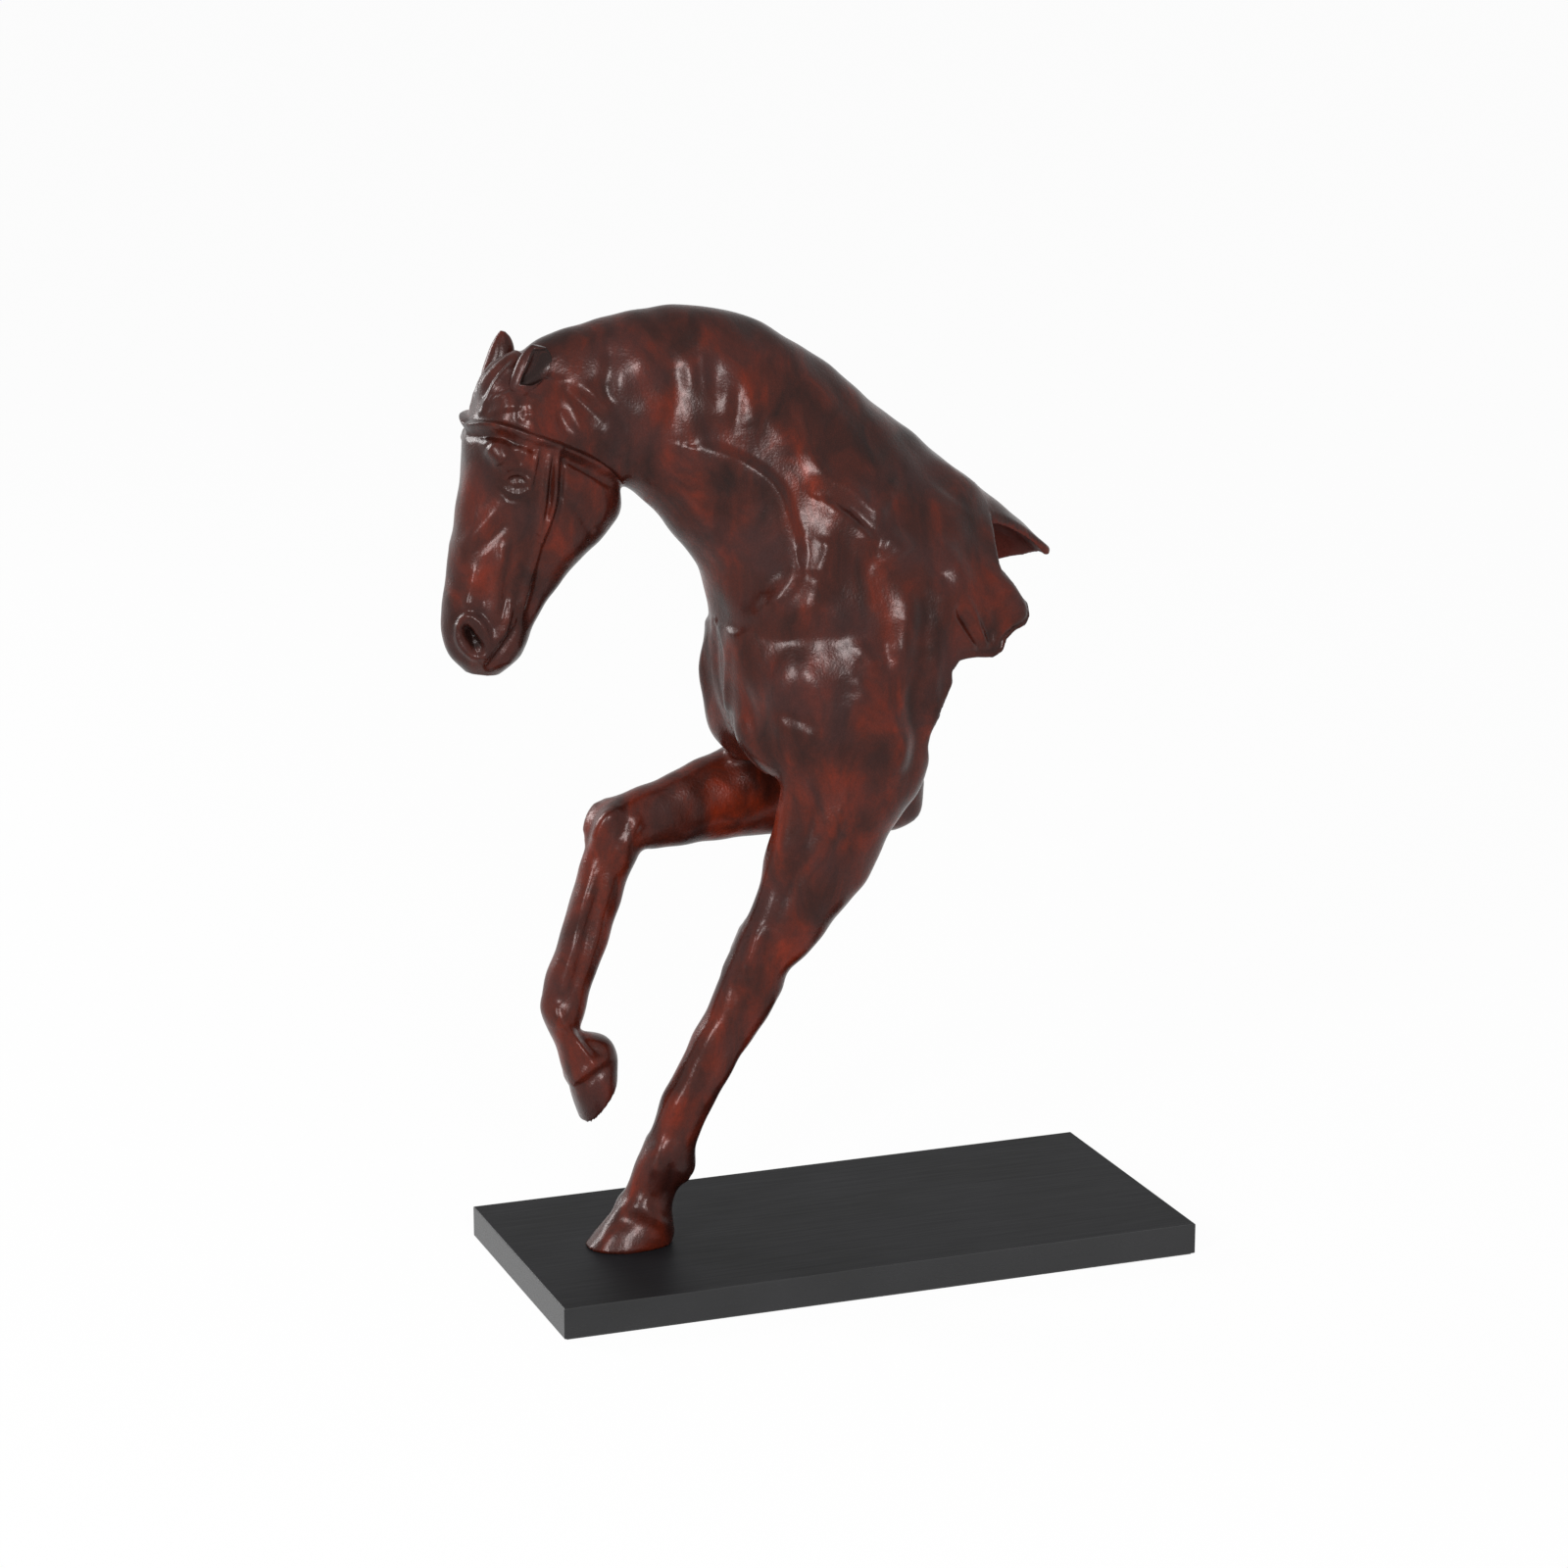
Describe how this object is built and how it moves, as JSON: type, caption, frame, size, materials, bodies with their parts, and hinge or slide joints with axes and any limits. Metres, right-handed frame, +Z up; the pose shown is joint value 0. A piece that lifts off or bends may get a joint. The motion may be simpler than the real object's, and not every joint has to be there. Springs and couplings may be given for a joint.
{
  "type": "horse sculpture",
  "caption": "Cast forepart of a trotting horse with a bridled head, one foreleg raised and the back edge torn open, rod-mounted by its planted hoof on a flat rectangular base.",
  "frame": {"origin": "middle of the felt sheet's underside, the face that the sculpture stands on", "axes": "+Z up; +X along the base's long side, away from the way the horse faces; +Y to the horse's right"},
  "size_m": [0.4395, 0.186, 0.5854],
  "materials": {
    "bronze_patina": "waxed satin patina",
    "bronze_pin": "satin",
    "black_base": "satin",
    "steel": "satin",
    "felt": "matte"
  },
  "bodies": {
    "root": {"base_plate": "black_base", "felt_sheet": "felt", "torso_shell": "bronze_patina", "neck_casting": "bronze_patina", "head_casting": "bronze_patina", "left_ear": "bronze_patina", "right_ear": "bronze_patina", "left_forearm": "bronze_patina", "left_knee_and_cannon": "bronze_patina", "left_pastern_and_hoof": "bronze_patina", "right_forearm": "bronze_patina", "right_knee_and_cannon": "bronze_patina", "right_pastern_and_hoof": "bronze_patina", "right_elbow_pin": "bronze_pin", "right_knee_pin": "bronze_pin", "right_fetlock_pin": "bronze_pin", "head_seam_pin_left": "bronze_pin", "head_seam_pin_right": "bronze_pin", "neck_seam_pin_left": "bronze_pin", "neck_seam_pin_right": "bronze_pin", "armature_rod": "steel", "hoof_dowel": "steel", "fender_washer": "steel", "lock_washer": "steel", "hex_nut": "steel"}
  },
  "joints": []
}
